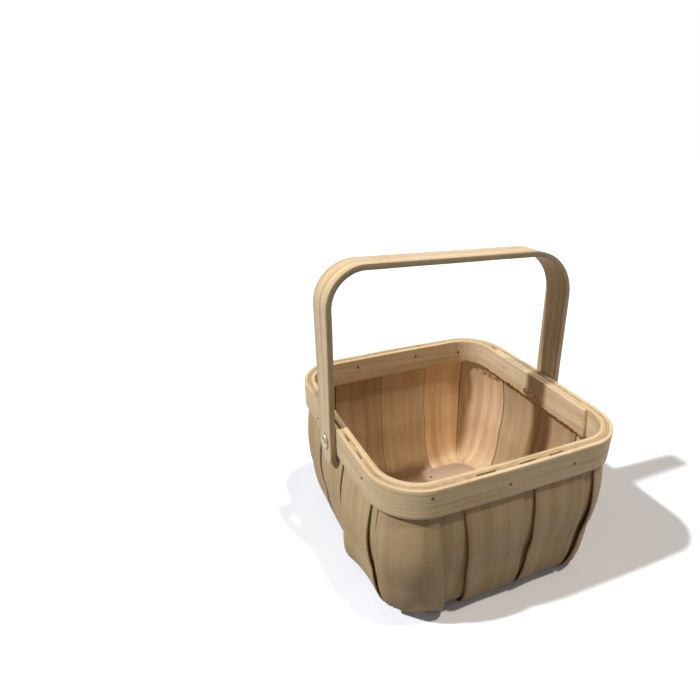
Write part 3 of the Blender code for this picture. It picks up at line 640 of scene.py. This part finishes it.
def makeFlap():
    start, end = sidePosition(-1, flap["start"]), sidePosition(0, flap["past"] - 1)
    lengths, rows = wallProfile(depths["outerSlat"], 0.0, flap["endShare"], 0.0)
    wideLengths, places = rimTable(start - 0.08, end + 0.08, depths["outerSlat"], 300)
    leftEdge, rightEdge = lookUp(places, wideLengths, start), lookUp(places, wideLengths, end)
    width, middle = rightEdge - leftEdge, (leftEdge + rightEdge) / 2
    leftMiddle, rightMiddle = (lookUp(places, wideLengths, mark) for mark in middlesBeside("outer", start))
    spread = {-1: leftEdge - leftMiddle - slats["tuckGap"], 1: rightMiddle - rightEdge - slats["tuckGap"]}
    last = rows[-1]
    left, right = Vector((*flap["leftEnd"], flap["lift"])), Vector((*flap["rightEnd"], 0))

    def outline(x, y):
        top = max(0, 1 - x / 0.004) * (0.0001 + 0.0003 * abs(noise.noise(Vector((y * 420, 2, 1)))))
        end = max(0, 1 - (lengths[-1] - x) / 0.004) * 0.0009 * abs(noise.noise(Vector((y * 300, 7, 1))))
        way = 1 if y > 0 else -1
        under = smoothStep((slats["tucked"] - x) / slats["tuckEase"])
        aside = way * spread[way] * under + 0.00025 * noise.noise(Vector((x * 70, 5, 3 if y > 0 else 8)))
        return x + top - end, y + aside * abs(y) / (width / 2)

    def face(x, y):
        row = lookUp(lengths, rows, x)
        mark = lookUp(wideLengths, places, y + middle)
        across = (mark - start) / (end - start)
        across = smoothStep(across) * 0.4 + across * 0.6
        drop = max(0, (basket["hoopBottom"] - row.y) / (basket["hoopBottom"] - last.y))
        point = rimPlace(mark, easedDepth(mark, row.x, depths["outerSlat"]) - flap["standOff"] * drop)
        foot = rimPlace(mark, easedDepth(mark, last.x, depths["outerSlat"]) - flap["standOff"])
        cut = left.lerp(right, across)
        slide = drop ** (flap["spread"] + (flap["slide"] - flap["spread"]) * smoothStep(2 * across - 1))
        point += Vector(((cut.x - foot.x) * slide, (cut.y - foot.y) * drop ** flap["spread"], 0))
        point.z = row.y + (cut.z - last.y) * drop
        point.y = max(point.y, cadBox[0][1] + 0.00002)
        return point

    strip = flatStrip(lengths[-1], width, slats["outerThickness"], slats["stepsAlong"], 20, slats["edge"], outline)
    return makePiece("veneer_outer_front_left_corner", bendSlat(strip, face, slats["outerTuck"]), slatWood, "basket",
                     "slat_wood", ["outer_slat_front_left_corner"])


makeFlap()
print("flap bent")

# thin plywood floor, lying on the slats' turned-in ends
panel = {"halfWidth": 0.0735, "halfDepth": 0.0655, "thickness": 0.003, "corner": 0.021, "edge": 0.0006, "level": 0.0056}


def makePanel():
    shape = bmesh.new()
    bmesh.ops.create_cube(shape, size=2)
    bmesh.ops.scale(shape, vec=(panel["halfWidth"], panel["halfDepth"], panel["thickness"] / 2), verts=shape.verts)
    bmesh.ops.translate(shape, vec=(0, 0, panel["level"] + panel["thickness"] / 2), verts=shape.verts)
    uprights = [e for e in shape.edges if abs(e.verts[0].co.z - e.verts[1].co.z) > panel["thickness"] / 2]
    bmesh.ops.bevel(shape, geom=uprights, offset=panel["corner"], offset_type="OFFSET", segments=14, profile=0.5,
                    affect="EDGES", material=-1)
    rims = [e for e in shape.edges if abs(e.verts[0].co.z - e.verts[1].co.z) < 1e-6]
    bmesh.ops.bevel(shape, geom=rims, offset=panel["edge"], offset_type="OFFSET", segments=2, profile=0.5,
                    affect="EDGES", material=-1)
    grain = shape.verts.layers.float_vector.new("grain")
    for vert in shape.verts:
        vert[grain] = vert.co + Vector((1.7, 0.4, 0.2))
    return makePiece("floorPanel", shape, panelWood, "basket", "panel_wood", ["bottom_panel"])


makePanel()
print("floor panel cut")

# bail handle: one strip with half-round ends, bent twice, hung a little towards the back
handle = {"width": 0.0238, "thickness": 0.0042, "edge": 0.0009, "half": 0.1067, "tail": 0.019, "leftTop": 0.13847,
          "rightTop": 0.132, "leftBend": 0.0305, "rightBend": 0.0415, "tiltDeg": 2.5,
          "twistDeg": 3.5, "lean": 0.0003, "sawnShade": 0.3}


def makeHandle():
    half, tail = handle["half"], -handle["tail"]
    leftBend, rightBend = handle["leftBend"], handle["rightBend"]
    slope = math.atan2(handle["leftTop"] - handle["rightTop"], 2 * half - leftBend - rightBend)
    quarter = math.pi / 2
    leftCentre = Vector((-half + leftBend, handle["leftTop"] - leftBend))
    rightCentre = Vector((half - rightBend, handle["rightTop"] - rightBend))
    up = Vector((math.cos(quarter - slope), math.sin(quarter - slope)))
    barStart, barEnd = leftCentre + up * leftBend, rightCentre + up * rightBend
    stretches = [leftCentre.y - tail, leftBend * (quarter + slope), (barEnd - barStart).length,
                 rightBend * (quarter - slope), rightCentre.y - tail]
    total = sum(stretches)

    def lineAt(s):
        if s < stretches[0]:
            return Vector((-half, tail + s)), math.pi
        s -= stretches[0]
        if s < stretches[1]:
            turn = math.pi - s / leftBend
            return leftCentre + Vector((math.cos(turn), math.sin(turn))) * leftBend, turn
        s -= stretches[1]
        if s < stretches[2]:
            return barStart.lerp(barEnd, s / stretches[2]), quarter - slope
        s -= stretches[2]
        if s < stretches[3]:
            turn = quarter - slope - s / rightBend
            return rightCentre + Vector((math.cos(turn), math.sin(turn))) * rightBend, turn
        return Vector((half, rightCentre.y - (s - stretches[3]))), 0.0

    def outline(x, y):
        near = min(x, total - x)
        round_ = handle["width"] / 2
        if near < round_:
            turn = quarter * near / round_
            new = round_ * (1 - math.cos(turn))
            x = new if x < total / 2 else total - new
            y *= max(math.sin(turn), 0.04)
        return x, y + 0.0002 * noise.noise(Vector((x * 40, 3, 3 if y > 0 else 8))) * abs(y) / (handle["width"] / 2)

    tilt = Matrix.Rotation(-math.radians(handle["tiltDeg"]), 3, "X")

    def place(co):
        point, turn = lineAt(co.x)
        # the left leg is twisted a little towards the front, most at its top, and leans in
        risen = smoothStep((co.x + tail) / (stretches[0] + tail))
        risen *= smoothStep((stretches[0] + stretches[1] - co.x) / stretches[1])
        aside = math.sin(math.radians(handle["twistDeg"]) * risen) * co.y
        point += Vector((math.cos(turn), math.sin(turn))) * (aside - handle["lean"] * risen)
        thin = co.z + 0.00015 * noise.noise(Vector((co.x * 30, co.y * 60, 2)))
        point -= Vector((math.cos(turn), math.sin(turn))) * (thin if co.z > 0.002 else co.z)
        return tilt @ Vector((point.x, co.y, point.y)) + Vector((0, 0, basket["pivot"]))

    strip = flatStrip(total, handle["width"], handle["thickness"], 300, 8, handle["edge"], outline)
    sawn = handle["width"] / 2 - handle["edge"]
    shape = bendStrip(strip, place, lambda co: 1 - handle["sawnShade"] * smoothStep((abs(co.y) - sawn) / handle["edge"]))
    return makePiece("bailHandle", shape, handleWood, "bail", "handle_wood", ["handle"])


makeHandle()
print("handle bent")

# split rivets: domed head outside, shank through the rim, two prongs curled back on the wood inside
rivet = {"radius": 0.0063, "height": 0.0024, "rim": 0.0005, "shank": 0.002, "headFace": 0.107,
         "prongLength": 0.0094, "prongWidth": 0.0026, "prongThickness": 0.0007, "inside": {"left": 0.0924, "right": 0.0889}}


def makeRivet(sideName, direction):
    face, inside = rivet["headFace"], rivet["inside"][sideName]
    dome = rivet["height"] - rivet["rim"]
    profile = [(face + rivet["rim"] + dome * math.cos(a), rivet["radius"] * math.sin(a))
               for a in [math.pi / 2 * i / 12 for i in range(13)]]
    profile += [(face + rivet["rim"] * 0.3, rivet["radius"] * 1.0), (face, rivet["radius"] * 0.96),
                (face, rivet["shank"]), (inside - 0.0002, rivet["shank"]), (inside - 0.0005, rivet["shank"] * 0.8),
                (inside - 0.0005, 0)]
    shape = bmesh.new()
    points = [shape.verts.new((x * direction, r, basket["pivot"])) for x, r in profile]
    edges = [shape.edges.new(pair) for pair in zip(points, points[1:])]
    bmesh.ops.spin(shape, geom=points + edges, cent=(0, 0, basket["pivot"]), axis=(1, 0, 0), angle=2 * math.pi,
                   steps=48, use_merge=True)
    bmesh.ops.remove_doubles(shape, verts=shape.verts, dist=1e-6)
    head = makePiece("rivetHead_" + sideName, shape, brassFinish, "basket", "brass", ["rivet_" + sideName])
    for way in (-1, 1):
        bends = [Vector((0, 0, 0))]
        steps = 60
        for i in range(steps):
            turn = math.radians(38 - 165 * ((i + 0.5) / steps) ** 1.5)
            bends.append(bends[-1] + Vector((math.cos(turn), math.sin(turn), 0)) * rivet["prongLength"] / steps)
        lowest = min(b.y for b in bends)
        lengths = [rivet["prongLength"] * i / steps for i in range(steps + 1)]

        def place(co):
            here = lookUp(lengths, bends, co.x)
            ahead = lookUp(lengths, bends, co.x + 0.0002) - lookUp(lengths, bends, co.x - 0.0002)
            along = ahead.normalized()
            lift = here.y - lowest + 0.0001 + along.x * co.z
            reach = here.x - along.y * co.z
            return Vector(((inside - lift) * direction, (reach + 0.0004) * way, basket["pivot"] + co.y))

        strip = flatStrip(rivet["prongLength"], rivet["prongWidth"], rivet["prongThickness"], 30, 6, 0.0002,
                          lambda x, y: (x, y * (1 - 0.72 * (x / rivet["prongLength"]) ** 3)))
        makePiece(f"rivetProng_{sideName}_{'front' if way < 0 else 'back'}", bendStrip(strip, place), brassFinish,
                  "basket", "brass")
    return head


makeRivet("left", -1)
makeRivet("right", 1)
print("rivets set")

# steel panel pins that hold the hoops and the floor, driven flush: side, share along it, height, outside or inside
pins = {"radius": 0.00125, "height": 0.0004, "outside": (
    (0, -0.705, 0.1316), (0, -0.095, 0.1258), (0, 0.451, 0.1267), (3, 0.594, 0.1275), (3, -0.325, 0.1223),
    (1, -0.52, 0.1262), (1, 0.37, 0.1305), (2, -0.47, 0.128), (2, 0.36, 0.1243)),
    "inside": ((2, 0.408, 0.1297), (2, -0.213, 0.1299), (2, -0.732, 0.126), (3, -0.36, 0.1268), (0, 0.31, 0.1281))}


def makePins(name, places):
    shape = bmesh.new()
    for spot, way in places:
        made = bmesh.ops.create_cone(shape, cap_ends=True, segments=16, radius1=pins["radius"],
                                     radius2=pins["radius"] * 0.8, depth=pins["height"])["verts"]
        turn = Vector((0, 0, 1)).rotation_difference(way).to_matrix()
        bmesh.ops.rotate(shape, cent=(0, 0, 0), matrix=turn, verts=made)
        bmesh.ops.translate(shape, vec=spot, verts=made)
    return makePiece(name, shape, pinFinish, "basket", "brass", sharpDeg=50)


def hoopPins(places, depth, inside):
    spots = []
    for side, share, height in places:
        position = sidePosition(side, share)
        point = rimPlace(position, depth)
        way = (rimPlace(position, 0.0) - rimPlace(position, 0.01)).normalized() * (-1 if inside else 1)
        spots.append((Vector((point.x, point.y, height)) + way * 0.0001, way))
    return spots


makePins("hoopPinsOutside", hoopPins(pins["outside"], 0.0, False))
makePins("hoopPinsInside", hoopPins(pins["inside"], 0.0093, True))
makePins("floorPins", [(Vector(spot), Vector((0, 0, 1))) for spot in (
    (-0.0175, -0.048, 0.0087), (0.0238, 0.0535, 0.0087), (-0.055, 0.045, 0.0087))])
print("pins driven")

# floor, light and camera
stage = {"size": 6.0, "floor": "#F8FAFF", "bounce": "#7A756E", "keyStrength": 2.95,
         "frontStrength": 1.32, "fill": 0.19}


def makeStage():
    shape = bmesh.new()
    bmesh.ops.create_grid(shape, x_segments=1, y_segments=1, size=stage["size"] / 2)
    bmesh.ops.translate(shape, vec=(0, 0, -0.0002), verts=shape.verts)
    mesh = bpy.data.meshes.new("studioFloor")
    shape.to_mesh(mesh)
    shape.free()
    paper = bpy.data.materials.new("mattePaperSweep")    # uncoated paper: flat white, no gloss
    paper.use_nodes = True
    tree = paper.node_tree
    tree.nodes.clear()
    # seen directly it is white, but it throws little light back on the basket
    path = addNode(tree, "ShaderNodeLightPath")
    seen = addNode(tree, "ShaderNodeMath", {"operation": "MAXIMUM"},
                   links={0: path.outputs["Is Camera Ray"], 1: path.outputs["Is Glossy Ray"]})
    seen = addNode(tree, "ShaderNodeMath", {"operation": "MAXIMUM"},
                   links={0: seen.outputs[0], 1: path.outputs["Is Transmission Ray"]})
    tone = addNode(tree, "ShaderNodeMix", {"data_type": "RGBA"},
                   {6: linear(stage["bounce"]), 7: linear(stage["floor"])}, {0: seen.outputs[0]})
    shader = addNode(tree, "ShaderNodeBsdfDiffuse", inputs={"Roughness": 1.0}, links={"Color": tone.outputs[2]})
    addNode(tree, "ShaderNodeOutputMaterial", links={"Surface": shader.outputs[0]})
    mesh.materials.append(paper)
    floor = bpy.data.objects.new("studioFloor", mesh)
    bpy.context.scene.collection.objects.link(floor)

    world = bpy.data.worlds.new("studio")
    bpy.context.scene.world = world
    world.use_nodes = True
    tree = world.node_tree
    tree.nodes.clear()
    path = addNode(tree, "ShaderNodeLightPath")
    seen = addNode(tree, "ShaderNodeMath", {"operation": "MAXIMUM"},
                   links={0: path.outputs["Is Camera Ray"], 1: path.outputs["Is Glossy Ray"]})
    seen = addNode(tree, "ShaderNodeMath", {"operation": "MAXIMUM"},
                   links={0: seen.outputs[0], 1: path.outputs["Is Transmission Ray"]})
    strength = addNode(tree, "ShaderNodeMapRange", inputs={"To Min": stage["fill"], "To Max": 1.0},
                       links={"Value": seen.outputs[0]})
    sky = addNode(tree, "ShaderNodeBackground", inputs={"Color": (1, 1, 1, 1)}, links={"Strength": strength.outputs[0]})
    addNode(tree, "ShaderNodeOutputWorld", links={"Surface": sky.outputs[0]})

    lamps = (("keyLight", (-0.644, 0.062, 0.758), stage["keyStrength"], 2.5, "#FFFFFF"),
             ("frontLight", (0.12, -0.25, 0.96), stage["frontStrength"], 3, "#FFF3DF"))
    for name, way, lampStrength, spread, colour in lamps:
        lamp = bpy.data.lights.new(name, "SUN")
        lamp.energy = lampStrength
        lamp.angle = math.radians(spread)
        lamp.color = linear(colour)[:3]
        made = bpy.data.objects.new(name, lamp)
        made.rotation_euler = Vector(way).to_track_quat("Z", "Y").to_euler()
        bpy.context.scene.collection.objects.link(made)


# camera at the photograph's place: azimuth, height angle and roll in degrees, place in metres
camera = {"azimuth": -21.505783, "elevation": 25.050039, "roll": -0.648087, "lens": 27.9732,
          "place": (-0.21802, -0.33664, 0.365085)}


def makeCamera():
    azimuth, elevation, roll = (math.radians(camera[key]) for key in ("azimuth", "elevation", "roll"))
    back = Vector((math.sin(azimuth) * math.cos(elevation), -math.cos(azimuth) * math.cos(elevation), math.sin(elevation)))
    right = Vector((math.cos(azimuth), math.sin(azimuth), 0))
    up = back.cross(right)
    across = right * math.cos(roll) + up * math.sin(roll)
    above = up * math.cos(roll) - right * math.sin(roll)
    lens = bpy.data.cameras.new("photoCamera")
    lens.sensor_width = 36
    lens.lens = camera["lens"]
    lens.clip_start = 0.01
    made = bpy.data.objects.new("photoCamera", lens)
    made.matrix_world = Matrix((across, above, back)).transposed().to_4x4()
    made.matrix_world.translation = Vector(camera["place"])
    bpy.context.scene.collection.objects.link(made)
    bpy.context.scene.camera = made


makeStage()
makeCamera()
bpy.context.scene.view_settings.view_transform = "Standard"
print("stage, light and camera set")
